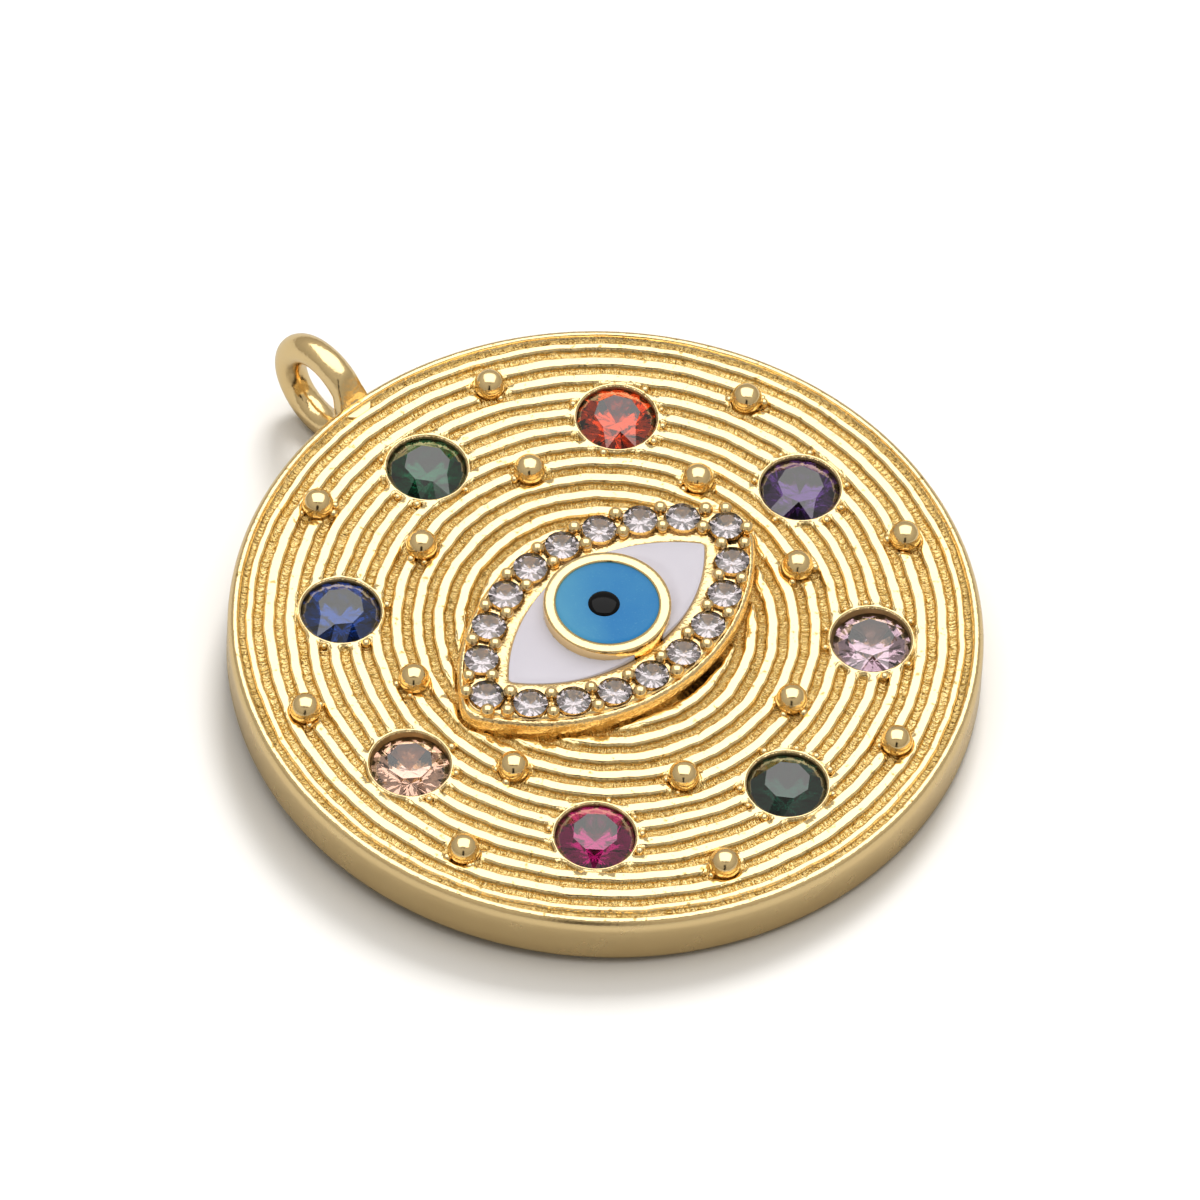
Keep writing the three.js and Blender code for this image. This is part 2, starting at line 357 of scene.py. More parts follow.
def face_gold():
    """The grooved face: smooth ridges, and groove floors that are deeper, rougher and finely striated.
    Painted shade darkens the low striae, the groove walls, small pit spots and the sunk gap along the
    plaque.
    """
    material, nodes, links, shader = new_material("gold_face")
    place = nodes.new("ShaderNodeTexCoord").outputs["Object"]
    split = nodes.new("ShaderNodeSeparateXYZ")
    links.new(place, split.inputs["Vector"])
    x, y, z = split.outputs
    angle = math_node(nodes, links, "ARCTAN2", y, x)
    radius = math_node(
        nodes, links, "SQRT", math_node(nodes, links, "ADD",
            math_node(nodes, links, "MULTIPLY", x, x), math_node(nodes, links, "MULTIPLY", y, y)),
    )
    polar = nodes.new("ShaderNodeCombineXYZ")
    links.new(math_node(nodes, links, "MULTIPLY", angle, 150.0), polar.inputs["X"])
    links.new(math_node(nodes, links, "MULTIPLY", radius, 4500.0), polar.inputs["Y"])
    striae = noise(nodes, links, polar.outputs["Vector"], 1.0, 2)
    grain = noise(nodes, links, place, 9000, 3)
    broad = noise(nodes, links, place, 500, 3)
    dents = noise(nodes, links, place, 2600, 2)
    low = mapped(nodes, links, z, (FLOOR + 0.03) * MM, (RIDGE - 0.03) * MM, 1.0, 0.0)
    high = mapped(nodes, links, z, (RIDGE - 0.12) * MM, (RIDGE - 0.06) * MM, 0.0, 1.0)
    deep = mapped(nodes, links, z, (FLOOR - 0.10) * MM, (FLOOR - 0.05) * MM, 1.0, 0.0)
    # Painted shade: the groove floors are darker where the striae pattern is low, standing for the shading
    # of that fine relief.
    raised = mapped(nodes, links, striae, 0.38, 0.55, 0.0, 1.0)
    floor_colour = blended(nodes, links, raised, GOLD_STRIA_SHADE, GOLD_RECESS)
    # Painted shade: the groove walls, from just above the floor up to the ridge tops, are darkened to this
    # dark gold.
    wall_shade = math_node(
        nodes, links, "MULTIPLY",
        mapped(nodes, links, z, (FLOOR + 0.02) * MM, (FLOOR + 0.05) * MM, 0.0, 1.0),
        mapped(nodes, links, broad, 0.3, 0.6, 1.0, 0.7),
    )
    wall_shaded_colour = blended(nodes, links, wall_shade, floor_colour, GOLD_PAINTED_SHADE)
    top_colour = blended(nodes, links, high, wall_shaded_colour, GOLD_PALE)
    # Painted shade: small scattered dark spots stand for the shade in little pits.
    pit_shade = mapped(nodes, links, noise(nodes, links, place, 4200, 4), 0.62, 0.70, 0.0, 0.8)
    pit_shaded = blended(nodes, links, pit_shade, top_colour, GOLD_PAINTED_SHADE)
    # Painted shadow: below the groove floors, in the sunk gap along the plaque, the gold turns dark.
    gap_shaded = blended(nodes, links, deep, pit_shaded, GOLD_GAP_SHADE)
    shader.inputs["Metallic"].default_value = 1.0
    links.new(gap_shaded, shader.inputs["Base Color"])
    worn = mapped(nodes, links, broad, 0.3, 0.7, 0.07, 0.14)
    rough = math_node(nodes, links, "ADD", worn, math_node(nodes, links, "MULTIPLY", low, 0.08))
    links.new(rough, shader.inputs["Roughness"])
    relief = math_node(nodes, links, "MULTIPLY", low, math_node(nodes, links, "ADD", striae, grain))
    skin = bumped(nodes, links, dents, 0.022, 1.0, bumped(nodes, links, grain, 0.008))
    links.new(bumped(nodes, links, relief, 0.07, 1.0, skin), shader.inputs["Normal"])
    return material


def stone_material(name, colour, coat=0.0, haze=0.0):
    """A cut glassy stone, a little cloudy in places; coat strengthens the mirroring of its facets."""
    material, nodes, links, shader = new_material(name)
    place = nodes.new("ShaderNodeTexCoord").outputs["Object"]
    cloud = noise(nodes, links, place, 900, 2)
    shader.inputs["IOR"].default_value = 2.15
    shader.inputs["Transmission Weight"].default_value = 1.0
    shader.inputs["Coat Weight"].default_value = coat
    shader.inputs["Coat IOR"].default_value = 1.7
    paler = tuple(min(1.0, 1.25 * c + 0.01) for c in colour)
    links.new(blended(nodes, links, cloud, colour, paler), shader.inputs["Base Color"])
    links.new(mapped(nodes, links, cloud, 0.4, 0.8, haze, haze + 0.04), shader.inputs["Roughness"])
    return material


def enamel_material(name, colour, paler, roughness, speck=0.0, pale_side=(0, 0, 0)):
    """Fired enamel: clouding, fine specks and a slightly wavy gloss, paler towards one side."""
    material, nodes, links, shader = new_material(name)
    place = nodes.new("ShaderNodeTexCoord").outputs["Object"]
    cloud = mapped(nodes, links, noise(nodes, links, place, 500, 3), 0.3, 0.7, 0.0, 1.0)
    specks = mapped(nodes, links, noise(nodes, links, place, 16000, 1), 0.62, 0.75, 0.0, speck)
    across = nodes.new("ShaderNodeVectorMath")
    across.operation = "DOT_PRODUCT"
    across.inputs[1].default_value = pale_side
    links.new(place, across.inputs[0])
    toward_pale_side = mapped(nodes, links, across.outputs["Value"], -0.2, 1.6, 0.0, 0.9)
    share = math_node(nodes, links, "ADD", specks, math_node(nodes, links, "MULTIPLY", cloud, 0.45))
    share = math_node(nodes, links, "ADD", share, toward_pale_side)
    links.new(blended(nodes, links, share, colour, paler), shader.inputs["Base Color"])
    links.new(mapped(nodes, links, cloud, 0, 1, roughness, roughness + 0.06), shader.inputs["Roughness"])
    shader.inputs["Specular IOR Level"].default_value = 0.4
    links.new(bumped(nodes, links, cloud, 0.008), shader.inputs["Normal"])
    return material


FACE_GOLD = face_gold()
SIDE_GOLD = plain_gold("gold_side", 0.20, 0.30, 0.12, 0.006)
BEAD_GOLD = plain_gold("gold_polished", 0.11, 0.20, 0.15, 0.006)
# Painted shade: darker gold for the stone seats, standing for the shade under the stones.
SEAT_GOLD_SHADED = plain_gold("gold_seat_shaded", 0.25, 0.40, 0.10, 0.02, GOLD_SEAT_DEEP_SHADE, GOLD_SEAT_SHADE)
LOOP_GOLD = plain_gold("gold_loop", 0.14, 0.24, 0.22, 0.014)
PLAQUE_GOLD = plain_gold("gold_plaque", 0.08, 0.16, 0.11, 0.03)

STONES = {
    "stone_north_emerald": (0.0, 0.07, 0.03),
    "stone_north_east_orange": (0.58, 0.055, 0.004),
    "stone_east_violet": (0.075, 0.025, 0.15),
    "stone_south_east_pink": (0.50, 0.36, 0.43),
    "stone_south_teal": (0.0, 0.035, 0.02),
    "stone_south_west_ruby": (0.32, 0.004, 0.12),
    "stone_west_champagne": (0.76, 0.50, 0.39),
    "stone_north_west_sapphire": (0.001, 0.04, 0.21),
}
PALE_STONES = ("stone_south_east_pink", "stone_west_champagne")


# ---------------------------------------------------------------- disc


def bead_places():
    for radius, offset in BEAD_RINGS:
        for quarter in range(0, 360, 90):
            for side in (-1, 1):
                angle = math.radians(quarter + side * offset)
                yield radius * math.cos(angle), radius * math.sin(angle)


def node_middle(node):
    """Middle of a CAD node's box and half its width, in millimetres."""
    low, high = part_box(node)
    return (low + high) / 2 / MM, (high.x - low.x) / 2 / MM


STONE_XY = np.array([node_middle(name)[0][:2] for name in STONES])
BEAD_XY = np.array(list(bead_places()))
GROOVES = [(FIRST_GROOVE + i * GROOVE_PITCH, 1.0) for i in range(GROOVE_COUNT)]
GROOVES.append((RIM_GROOVE, RIM_GROOVE_SCALE))


def nearest(xy, places):
    """Distance from each point to the nearest place."""
    return np.min([np.hypot(xy[:, 0] - x, xy[:, 1] - y) for x, y in places], axis=0)


def grooved(radius, angle):
    """Height of the ringed face before seats and beads."""
    height = RIDGE + (RIM_HEIGHT - RIDGE) * smooth(RIM_GROOVE, RIM_CREST, radius)
    from_ridge = np.abs((radius - FIRST_GROOVE) / GROOVE_PITCH % 1 - 0.5)
    height = height - RIDGE_ROUND * (2 * from_ridge) ** 2 * (radius < RIM_GROOVE)
    for centre, scale in GROOVES:
        across = np.abs(radius - centre) / (GROOVE_HALF * scale)
        wall = 1 - smooth(0.72, 1.15, across)
        depth = scale * (GROOVE_DEPTH + waves(angle, radius, (3, 7, 11, 23), 0.006))
        height = height - depth * wall - 0.008 * scale * np.clip(1 - (across / 0.7) ** 2, 0, 1)
    return height


def disc_height(xy):
    radius, angle = np.hypot(*xy.T), np.arctan2(xy[:, 1], xy[:, 0])
    height = grooved(radius, angle)
    to_stone, to_bead = nearest(xy, STONE_XY), nearest(xy, BEAD_XY)
    height = mix(height, FLOOR + 0.05, 1 - smooth(BEAD_RADIUS - 0.04, BEAD_RADIUS + 0.07, to_bead))
    seat = np.interp(
        to_stone,
        [0.2, SEAT_RADIUS - 0.03, SEAT_RADIUS, SEAT_RADIUS + 0.02, SEAT_RADIUS + 0.045, SEAT_RADIUS + 0.08],
        [SEAT_FLOOR, 1.55, 1.77, RIDGE - 0.04, RIDGE - 0.01, RIDGE + 0.005],
    )
    height = mix(seat, height, smooth(COLLAR_START, COLLAR_END, to_stone))
    outside = eye_distance(*xy.T, OUTLINE_ARC, OUTLINE_TIP)
    sunk = smooth(-3.0, -3.5, xy[:, 1]) * smooth(-0.5, 0.4, xy[:, 0]) * smooth(2.4, 1.5, xy[:, 0])
    gap = mix(0.12, 0.22, sunk)
    return mix(FLOOR - mix(0.03, 0.16, sunk), height, smooth(0.25 * gap, gap, outside))


def ring_radii():
    """Radii of the point rings: closest on the groove walls, with one on each ridge."""
    one_side = np.array([0.4, 0.72, 0.84, 0.94, 1.04, 1.15, 1.4])
    offsets = np.concatenate([-one_side[::-1], [0], one_side])
    radii = [FIRST_GROOVE - 2.2 * GROOVE_HALF]
    for centre, scale in GROOVES:
        radii.extend(centre + offsets * GROOVE_HALF * scale)
    return radii + [RIM_CREST]


def disc():
    count_at_rim = round(2 * math.pi * RIM_CREST / POINT_STEP)
    rings = []
    for radius in ring_radii():
        count = count_at_rim if radius == RIM_CREST else round(2 * math.pi * radius / POINT_STEP)
        ring = circle(radius, count)
        outside = eye_distance(*ring.T, OUTLINE_ARC, OUTLINE_TIP)
        clear = (outside > 0.34) & (nearest(ring, STONE_XY) > COLLAR_END + 0.08)
        rings.append((ring, clear & (nearest(ring, BEAD_XY) > BEAD_RADIUS + 0.15)))
    for x, y in STONE_XY:
        for reach in SEAT_RINGS:
            ring = circle(reach, 96 if reach > 1 else 24, x, y)
            rings.append((ring, np.full(len(ring), True)))
    for x, y in BEAD_XY:
        for reach in (0.3, 0.42, 0.48, 0.54, 0.60, 0.65):
            ring = circle(reach, 30, x, y)
            outside = eye_distance(*ring.T, OUTLINE_ARC, OUTLINE_TIP)
            rings.append((ring, outside > 0.34))
    for out in (-0.6, -0.2, 0.0, 0.05, 0.10, 0.16, 0.22, 0.29):
        ring = eye_ring(OUTLINE_ARC + out, OUTLINE_TIP + out, 0.12)
        rings.append((ring, np.hypot(*ring.T) > 0))
    for radius in (0.5, 1.8):
        rings.append((circle(radius, 12), np.full(12, True)))
    xy, triangles, numbers = triangulate(rings, lambda x, y: np.hypot(x, y) < RIM_CREST)
    height = disc_height(xy)

    radius, angle = np.hypot(*xy.T), np.arctan2(xy[:, 1], xy[:, 0])
    free = smooth(COLLAR_END, COLLAR_END + 0.4, nearest(xy, STONE_XY))
    free = free * (1 - smooth(RIM_GROOVE, RIM_CREST, radius))
    sway = waves(angle, 1.3 * radius, (5, 9, 17, 31), 0.022)
    sway = free * (sway + waves(angle, 4 * radius, (53, 71, 97), 0.009))
    xy = xy * (1 + sway / np.maximum(radius, 1))[:, None]

    shape = Shape()
    shape.add(np.column_stack([xy, height]))
    # Triangles inside a seat take the darker seat gold: painted shade under the stones.
    in_seat = nearest(xy[triangles].mean(1), STONE_XY) < SEAT_RADIUS + 0.01
    for triangle, seated in zip(triangles, in_seat):
        shape.face(triangle, 2 if seated else 0)
    last = numbers[len(ring_radii()) - 1]
    profile = []
    for i in range(1, 9):
        lean = math.pi / 2 * i / 8
        profile.append((
            RIM_CREST + (DISC_RADIUS - RIM_CREST) * math.sin(lean),
            RIM_HEIGHT - RIM_DROP * (1 - math.cos(lean)),
        ))
    profile += [(DISC_RADIUS, 1.1), (DISC_RADIUS, 0.7), (DISC_RADIUS, BACK_EDGE)]
    for i in range(1, 6):
        lean = math.pi / 2 * i / 5
        profile.append((
            DISC_RADIUS - BACK_EDGE * (1 - math.cos(lean)),
            BACK_EDGE * (1 - math.sin(lean)),
        ))
    profile += [(10.0, 0.0), (5.0, 0.0)]
    for i, (radius, z) in enumerate(profile):
        ring = shape.add(np.column_stack([circle(radius, count_at_rim), np.full(count_at_rim, z)]))
        shape.band(last, ring, 0 if i < 2 else 1)
        last = ring
    shape.face(last, 1)
    return shape.build("disc", [FACE_GOLD, SIDE_GOLD, SEAT_GOLD_SHADED], ["disc_body"])


def beads():
    shape = Shape()
    for x, y in BEAD_XY:
        shape.ball((x, y, BEAD_HEIGHT), BEAD_RADIUS, 32, 20)
    return shape.build("beads", [BEAD_GOLD], ["disc_body"])


def granules():
    """Tiny cast grains in the ends of the grooves around each stone, and against the foot of each bead."""
    shape = Shape()
    for x, y in STONE_XY:
        for centre, scale in GROOVES:
            span = math.hypot(x, y)
            reach = COLLAR_END + 0.03
            share = (centre**2 + span**2 - reach**2) / (2 * centre * span)
            if abs(share) > 1:
                continue
            for side in (-1, 1):
                if rng.random() < 0.45:
                    continue
                angle = math.atan2(y, x) + side * math.acos(share)
                size = rng.uniform(0.09, 0.15)
                place = (centre * math.cos(angle), centre * math.sin(angle), FLOOR + 0.8 * size)
                shape.ball(place, size, 12, 8)
    for x, y in BEAD_XY:
        for _ in range(3):
            angle = rng.uniform(0, 2 * math.pi)
            size = rng.uniform(0.09, 0.15)
            reach = BEAD_RADIUS + 0.4 * size
            place = (x + reach * math.cos(angle), y + reach * math.sin(angle), FLOOR + 1.1 * size)
            shape.ball(place, size, 12, 8)
    return shape.build("granules", [BEAD_GOLD], ["disc_body"])


def loop():
    """The wire ring, thicker where it is soldered to the rim."""
    low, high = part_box("loop")
    middle_z = (low.z + high.z) / 2 / MM
    wire = (high.x - low.x) / 2 / MM
    reach = high.y / MM - LOOP_MIDDLE_Y - wire
    around, along = 32, 120
    shape = Shape()
    rings = []
    for i in range(along):
        turn = 2 * math.pi * i / along
        inward = math.cos(turn - math.pi)
        thick = wire * (1 + 0.22 * smooth(0.72, 1.0, inward) + 0.012 * math.sin(3 * turn + 1))
        angle = 2 * math.pi * np.arange(around) / around
        out = reach + thick * np.cos(angle)
        y = LOOP_MIDDLE_Y + out * math.cos(turn)
        points = np.column_stack([thick * np.sin(angle), y, middle_z + out * math.sin(turn)])
        from_rim = np.hypot(points[:, 0], points[:, 1]) - (DISC_RADIUS - 0.16)
        limit = RIM_HEIGHT - 0.05 + 2.0 * np.maximum(from_rim, -0.05)
        over = np.maximum(points[:, 2] - limit, 0)
        points[:, 2] -= np.where(from_rim < 0, 1.0, 0.7) * over
        rings.append(shape.add(points))
    for first, second in zip(rings, rings[1:] + rings[:1]):
        shape.band(first, second)
    return shape.build("hanging_loop", [LOOP_GOLD], ["loop"])


# ---------------------------------------------------------------- stones


def brilliant(shape, middle, radius, crown, pavilion, turn, lean):
    """A round stone: an octagonal table, two rows of crown facets, girdle, and a pointed pavilion."""
    table, lower, girdle = 0.59, 0.28, 0.02 * radius
    lower_z = -pavilion * (1 - lower * math.cos(math.pi / 8))
    levels = [
        (8, table, crown, 0.0),
        (16, 1.0, girdle, 0.0),
        (16, 1.0, -girdle, 0.0),
        (8, lower, lower_z, 0.5),
    ]
    points = [
        np.column_stack([circle(radius * reach, count, shift=shift), np.full(count, height)])
        for count, reach, height, shift in levels
    ]
    points.append(np.array([[0, 0, -pavilion]]))
    tilt = Matrix.Rotation(lean[0], 3, "X") @ Matrix.Rotation(lean[1], 3, "Y")
    tilt = tilt @ Matrix.Rotation(turn, 3, "Z")
    placed = np.vstack(points) @ np.array(tilt).T + np.array(middle)
    number = shape.add(placed)
    top, upper, under, lowers = np.split(number[:-1], np.cumsum([8, 16, 16]))
    culet = number[-1]
    shape.face(top)
    for i in range(8):
        j, before = (i + 1) % 8, i - 1
        a, b, c = 2 * i, 2 * i + 1, (2 * i + 2) % 16
        shape.face((top[i], upper[b], top[j]))
        shape.face((top[i], upper[a - 1], upper[a]))
        shape.face((top[i], upper[a], upper[b]))
        shape.face((lowers[i], under[b], under[a]))
        shape.face((lowers[i], under[c], under[b]))
        shape.face((culet, lowers[i], under[a], lowers[before]))
    shape.band(upper, under)


def stones():
    for name, colour in STONES.items():
        middle, _ = node_middle(name)
        girdle, haze = (PALE_GIRDLE, 0.02) if name in PALE_STONES else (STONE_GIRDLE, 0.05)
        material = stone_material(name, colour, 0.35, haze)
        shape = Shape()
        brilliant(
            shape, (middle.x, middle.y, girdle), STONE_RADIUS, STONE_CROWN, girdle - STONE_CULET,
            rng.uniform(0, math.pi / 4), rng.uniform(-0.025, 0.025, 2),
        )
        shape.build(name.replace("stone", "cut_stone"), [material], [name], smoothed=False)


def pave_stones():
    clear = stone_material("pave_clear", (0.50, 0.45, 0.47))
    for i in range(1, 19):
        name = f"pave_stone_{i:02d}"
        low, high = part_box(name)
        middle, radius = node_middle(name)
        girdle = CROWN + 0.13
        shape = Shape()
        brilliant(
            shape, (middle.x, middle.y, girdle), 1.06 * radius, high.z / MM - girdle, girdle - low.z / MM,
            rng.uniform(0, math.pi / 4), rng.uniform(-0.05, 0.05, 2),
        )
        shape.build(f"pave_{i:02d}", [clear], [name], smoothed=False)


# ---------------------------------------------------------------- eye


PAVE_XY = np.array([node_middle(f"pave_stone_{i:02d}")[0][:2] for i in range(1, 19)])


def on_arc(arc, angle, side):
    return arc * math.sin(angle), side * (arc * math.cos(angle) - ARC_DROP)


def prong_places():
    for side in (-1, 1):
        for i in range(-4, 5):
            yield on_arc(PAVE_ARC + 0.38, i * PAVE_STEP, side)
            yield on_arc(PAVE_ARC - 0.36, i * PAVE_STEP, side)
        for end in (-1, 1):
            yield end * (PAVE_TIP + 0.42), side * 0.5


def crown_height(xy):
    """Top of the plaque: seats for the small stones, and a soft edge all round."""
    inside = -eye_distance(*xy.T, OUTLINE_ARC - 0.22, OUTLINE_TIP - 0.22)
    from_opening = eye_distance(*xy.T, ENAMEL_ARC, ENAMEL_TIP)
    height = CROWN - 0.08 * (1 - smooth(0.0, 0.12, inside)) - 0.06 * (1 - smooth(0.0, 0.1, from_opening))
    to_stone = nearest(xy, PAVE_XY)
    seat = np.interp(to_stone, [0.0, 0.5, 0.54, 0.56], [CROWN - 0.55, CROWN - 0.08, CROWN - 0.03, CROWN])
    return np.minimum(height, seat)


def plaque():
    crown_ring = eye_ring(OUTLINE_ARC - 0.25, OUTLINE_TIP - 0.25, 0.1)
    opening = eye_ring(ENAMEL_ARC, ENAMEL_TIP, 0.1)
    rings = [(crown_ring, np.full(len(crown_ring), True)), (opening, np.full(len(opening), True))]
    for arc, tip in ((OUTLINE_ARC - 0.31, OUTLINE_TIP - 0.31), (OUTLINE_ARC - 0.37, OUTLINE_TIP - 0.37),
                     (ENAMEL_ARC + 0.05, ENAMEL_TIP + 0.05), (ENAMEL_ARC + 0.11, ENAMEL_TIP + 0.11)):
        ring = eye_ring(arc, tip, 0.1)
        rings.append((ring, nearest(ring, PAVE_XY) > 0.6))
    for x, y in PAVE_XY:
        for reach in (0.2, 0.5, 0.54, 0.56):
            ring = circle(reach, 32, x, y)
            inside = eye_distance(*ring.T, OUTLINE_ARC - 0.28, OUTLINE_TIP - 0.28) < 0
            rings.append((ring, inside & (eye_distance(*ring.T, ENAMEL_ARC + 0.02, ENAMEL_TIP + 0.02) > 0)))

    def keep(x, y):
        inside = eye_distance(x, y, OUTLINE_ARC - 0.25, OUTLINE_TIP - 0.25) < 0
        return inside & (eye_distance(x, y, ENAMEL_ARC, ENAMEL_TIP) > 0)

    xy, triangles, numbers = triangulate(rings, keep)
    shape = Shape()
    shape.add(np.column_stack([xy, crown_height(xy)]))
    for triangle in triangles:
        shape.face(triangle)

    onward = np.roll(crown_ring, -1, 0) - np.roll(crown_ring, 1, 0)
    outward = np.column_stack([onward[:, 1], -onward[:, 0]])
    outward /= np.hypot(*outward.T)[:, None]
    last = numbers[0]
    for out, drop in LIP_PROFILE:
        level = np.full(len(crown_ring), LIP - drop)
        ring = shape.add(np.column_stack([crown_ring + out * outward, level]))
        shape.band(last, ring)
        last = ring
    inner = numbers[1]
    ring = shape.add(np.column_stack([opening, np.full(len(opening), 1.62)]))
    shape.band(ring, inner)
    under_xy = np.array(shape.points)[np.concatenate([last, ring])][:, :2]
    under_rings = [
        (under_xy[:len(last)], np.full(len(last), True)),
        (under_xy[len(last):], np.full(len(ring), True)),
    ]
    flat, under, _ = triangulate(under_rings, lambda x, y: eye_distance(x, y, ENAMEL_ARC, ENAMEL_TIP) > 0)
    joined = np.concatenate([last, ring])
    order = [int(np.argmin(np.hypot(*(under_xy - p).T))) for p in flat]
    for triangle in under:
        shape.face([joined[order[c]] for c in triangle])
    return shape.build("eye_frame", [PLAQUE_GOLD], ["eye_plaque"])


def prongs():
    shape = Shape()
    for x, y in prong_places():
        shape.ball((x, y, PRONG_HEIGHT), rng.uniform(0.215, 0.24), 20, 12)
    return shape.build("prongs", [BEAD_GOLD], ["eye_plaque"])


def bezel():
    middle, half = (BEZEL_OUTER + BEZEL_INNER) / 2, (BEZEL_OUTER - BEZEL_INNER) / 2
    profile = [(1.0, 2.5), (BEZEL_OUTER - 0.03, 2.2), (BEZEL_OUTER, 2.5), (BEZEL_OUTER, 2.8)]
    for i in range(13):
        lean = math.pi * (1 - i / 12)
        profile.append((middle - half * math.cos(lean), BEZEL_TOP - 0.14 + 0.14 * math.sin(lean) ** 0.6))
    profile += [(BEZEL_INNER, 2.7), (1.0, 2.7)]
    shape = Shape()
    shape.lathe(profile, 128)
    return shape.build("iris_ring", [BEAD_GOLD], ["iris_bezel"])


def iris():
    edge = BEZEL_INNER + 0.01
    profile = [(0.2, 2.72), (edge, 2.72)]
    for radius in (edge, edge - 0.03, edge - 0.07, edge - 0.13, edge - 0.22, edge - 0.4, 0.9, 0.5, 0.1):
        profile.append((radius, IRIS - 0.03 + 0.05 * math.exp(-(edge - radius) / 0.09)))
    shape = Shape()
    shape.lathe(profile, 96)
    deep, pale = (0.045, 0.26, 0.55), (0.115, 0.375, 0.58)
    blue = enamel_material("enamel_blue", deep, pale, 0.18, 0.3, IRIS_PALE_SIDE)
    return shape.build("iris_enamel", [blue], ["enamel_iris_blue"])


def pupil():
    place, radius = node_middle("pupil_black")
    radius += 0.03
    profile = [(0.1, IRIS - 0.1), (radius, IRIS - 0.1)]
    for i in range(16):
        lean = math.pi / 2 * i / 16
        profile.append((radius * math.cos(lean), IRIS - 0.05 + 0.18 * math.sin(lean)))
    shape = Shape()
    shape.lathe(profile, 48, place.x, place.y)
    black = enamel_material("enamel_black", (0.006, 0.006, 0.007), (0.02, 0.02, 0.022), 0.12)
    return shape.build("pupil_dot", [black], ["pupil_black"])


def white_enamel(side, name, white):
    """One side of the white of the eye, drawn up against the gold around it."""
    rings = []
    for out in (-0.005, -0.04, -0.09, -0.16, -0.25, -0.38, -0.55, -0.8):
        tip = max(0.02, ENAMEL_TIP + out)
        ring = eye_ring(ENAMEL_ARC + out, tip, 0.08)
        beyond = np.hypot(*ring.T) > BEZEL_OUTER + 0.3 * (out < -0.1)
        rings.append((ring, beyond & (side * ring[:, 0] > 0)))
    for reach in (0.0, 0.04, 0.09, 0.16, 0.25, 0.4):
        ring = circle(BEZEL_OUTER + reach, 160)
        inside = eye_distance(*ring.T, ENAMEL_ARC, ENAMEL_TIP) < -0.02 - 0.3 * reach
        rings.append((ring, inside & (side * ring[:, 0] > 0)))

    def keep(x, y):
        inside = eye_distance(x, y, ENAMEL_ARC, ENAMEL_TIP) < 0
        return inside & (np.hypot(x, y) > BEZEL_OUTER - 0.01) & (side * x > 0)

    xy, triangles, _ = triangulate(rings, keep)
    to_frame = -eye_distance(*xy.T, ENAMEL_ARC, ENAMEL_TIP)
    to_iris = np.hypot(*xy.T) - BEZEL_OUTER
    height = ENAMEL - 0.05 + 0.08 * np.exp(-to_frame / 0.2) + 0.22 * np.exp(-to_iris / 0.45)
    shape = Shape()
    top = shape.add(np.column_stack([xy, height]))
    under = shape.add(np.column_stack([xy, np.full(len(xy), 2.24)]))
    edges = {}
    for triangle in triangles:
        shape.face(top[triangle])
        shape.face(under[triangle[::-1]])
        for a, b in zip(triangle, np.roll(triangle, -1)):
            edges[(int(a), int(b))] = edges.get((int(b), int(a)), 0) + 1
    rim = [edge for edge in edges if (edge[1], edge[0]) not in edges]
    for a, b in rim:
        shape.face((top[a], under[a], under[b], top[b]))
    return shape.build(name, [white], [name.replace("white", "enamel_white")])


# ---------------------------------------------------------------- camera, floor and light


def unit(azimuth, elevation):
    a, e = math.radians(azimuth), math.radians(elevation)
    return Vector((math.sin(a) * math.cos(e), -math.cos(a) * math.cos(e), math.sin(e)))


CAMERA_AZIMUTH, CAMERA_ELEVATION = -45.4, 52.0
CAMERA_ROLL = 3.45
CAMERA_DISTANCE = 707       # mm
CAMERA_LENS = 669           # mm, on a 36 mm sensor


def camera():
    back = unit(CAMERA_AZIMUTH, CAMERA_ELEVATION)
    right = Vector((0, 0, 1)).cross(back).normalized()
    level = Matrix((right, back.cross(right), back)).transposed()
    turned = level @ Matrix.Rotation(math.radians(CAMERA_ROLL), 3, "Z")
    target = Vector((0, 0, 1.76)) + turned @ Vector((-0.19, 0.83, 0))
    data = bpy.data.cameras.new("camera")
    data.sensor_width = 36
    data.lens = CAMERA_LENS
    made = bpy.data.objects.new("camera", data)
    made.matrix_world = Matrix.Translation((target + CAMERA_DISTANCE * back) * MM) @ turned.to_4x4()
    bpy.context.scene.collection.objects.link(made)
    bpy.context.scene.camera = made


def floor():
    """A pale sheet that the pendant lies on, tilted as it rests on its loop and the far back edge."""
    loop_low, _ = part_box("loop")
    edge_y = -(DISC_RADIUS - BACK_EDGE) * MM
    slope = loop_low.z / (LOOP_MIDDLE_Y * MM - edge_y)
    corners = []
    for x, y in ((-1.5, -1.5), (1.5, -1.5), (1.5, 1.5), (-1.5, 1.5)):
        corners.append((x, y, slope * (y - edge_y) - 0.02 * MM))
    mesh = bpy.data.meshes.new("floor")
    mesh.from_pydata(corners, [], [(0, 1, 2, 3)])
    material, nodes, links, shader = new_material("pale_floor")
    place = nodes.new("ShaderNodeTexCoord").outputs["Object"]
    seen = nodes.new("ShaderNodeLightPath").outputs["Is Camera Ray"]
    cloud = noise(nodes, links, place, 40)
    share = math_node(nodes, links, "ADD", seen, math_node(nodes, links, "MULTIPLY", cloud, 0.04))
    # Darker in reflections than to the camera, so that the side wall is not lit too brightly
    paper = blended(nodes, links, share, (0.47, 0.47, 0.47), (0.76, 0.75, 0.74))
    links.new(paper, shader.inputs["Base Color"])
    shader.inputs["Roughness"].default_value = 0.9
    shader.inputs["Specular IOR Level"].default_value = 0.0
    mesh.materials.append(material)
    made = bpy.data.objects.new("floor", mesh)
    bpy.context.scene.collection.objects.link(made)
    return made


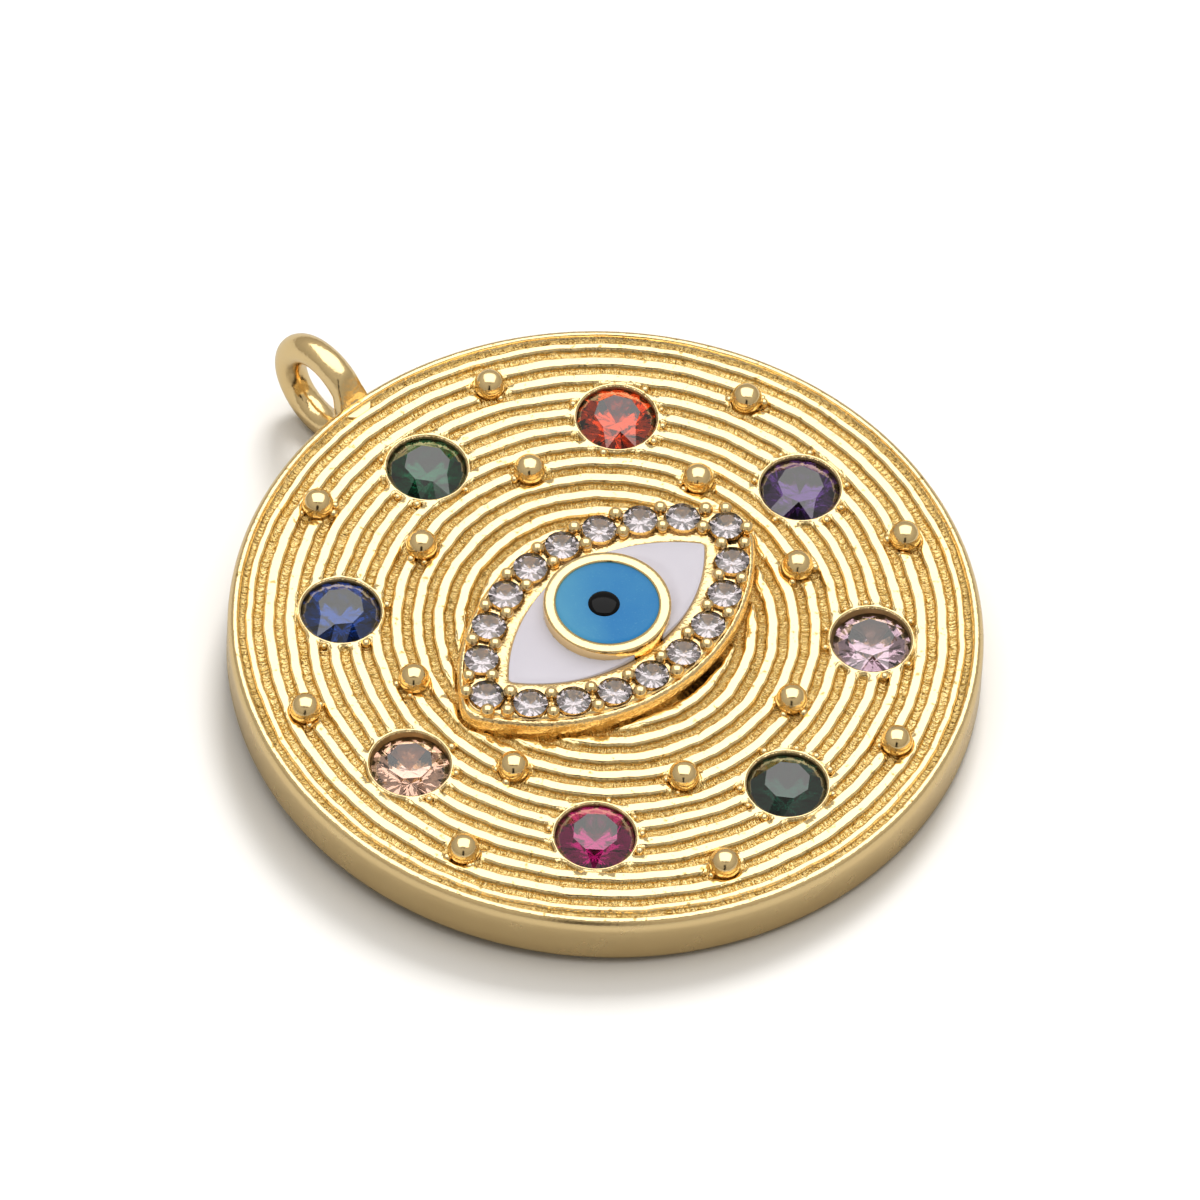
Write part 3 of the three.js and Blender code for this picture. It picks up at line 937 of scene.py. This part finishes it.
def softbox(name, azimuth, elevation, distance, width, depth, radiance):
    """A lamp that faces the pendant; radiance is how bright it looks where it is mirrored."""
    data = bpy.data.lights.new(name, "AREA")
    data.shape = "RECTANGLE"
    data.size, data.size_y = width, depth
    data.energy = radiance * math.pi * width * depth
    made = bpy.data.objects.new(name, data)
    direction = unit(azimuth, elevation)
    made.location = direction * distance
    made.rotation_mode = "QUATERNION"
    made.rotation_quaternion = direction.to_track_quat("Z", "Y")
    bpy.context.scene.collection.objects.link(made)
    return made


def floor_lamp(sheet):
    """A smaller lamp behind the pendant that lights the floor only, and throws the shadow forwards."""
    lamp = softbox(
        "floor_lamp", azimuth=CAMERA_AZIMUTH + 172, elevation=48, distance=0.6, width=0.2, depth=0.2,
        radiance=13.0,
    )
    lit = bpy.data.collections.new("lit_by_floor_lamp")
    lit.objects.link(sheet)
    lamp.light_linking.receiver_collection = lit


def surroundings():
    """A grey tent with a dark slit and a dark seam, which the camera itself sees as white."""
    world = bpy.data.worlds.new("tent")
    bpy.context.scene.world = world
    world.use_nodes = True
    nodes, links = world.node_tree.nodes, world.node_tree.links
    place = nodes.new("ShaderNodeTexCoord").outputs["Generated"]
    split = nodes.new("ShaderNodeSeparateXYZ")
    links.new(place, split.inputs["Vector"])
    up = mapped(nodes, links, split.outputs["Z"], 0.0, 0.6, 0.30, 0.40)

    def along(direction):
        product = nodes.new("ShaderNodeVectorMath")
        product.operation = "DOT_PRODUCT"
        links.new(place, product.inputs[0])
        product.inputs[1].default_value = direction
        return product.outputs["Value"]

    sideways = math_node(nodes, links, "ABSOLUTE", along(unit(CAMERA_AZIMUTH + 90, 0)))
    slit = math_node(
        nodes, links, "MAXIMUM",
        mapped(nodes, links, sideways, 0.09, 0.14, 0.06, 1.0),
        mapped(nodes, links, along(unit(CAMERA_AZIMUTH, 5)), 0.80, 0.86, 1.0, 0.0),
    )
    from_seam = math_node(nodes, links, "ABSOLUTE", along(unit(CAMERA_AZIMUTH, -28)))
    seam = math_node(
        nodes, links, "MAXIMUM",
        mapped(nodes, links, from_seam, 0.02, 0.06, 0.15, 1.0),
        mapped(nodes, links, sideways, 0.40, 0.50, 0.0, 1.0),
    )
    strength = math_node(nodes, links, "MULTIPLY", up, math_node(nodes, links, "MULTIPLY", slit, seam))
    ray = nodes.new("ShaderNodeLightPath")
    seen = nodes.new("ShaderNodeMix")
    seen.data_type = "FLOAT"
    links.new(ray.outputs["Is Camera Ray"], seen.inputs["Factor"])
    links.new(strength, seen.inputs["A"])
    seen.inputs["B"].default_value = 1.05
    links.new(seen.outputs["Result"], nodes["Background"].inputs["Strength"])
    nodes["Background"].inputs["Color"].default_value = (1, 0.975, 0.915, 1)


disc()
beads()
granules()
loop()
stones()
plaque()
prongs()
pave_stones()
bezel()
iris()
pupil()
WHITE = enamel_material("enamel_white", (0.69, 0.665, 0.735), (0.76, 0.74, 0.81), 0.08)
white_enamel(-1, "white_left", WHITE)
white_enamel(1, "white_right", WHITE)

camera()
sheet = floor()
surroundings()
softbox(
    "softbox", azimuth=CAMERA_AZIMUTH + 180, elevation=77, distance=0.45, width=0.74, depth=0.66,
    radiance=0.84,
)
floor_lamp(sheet)
bpy.context.scene.view_settings.view_transform = "Standard"
bpy.context.scene.view_settings.look = "High Contrast"
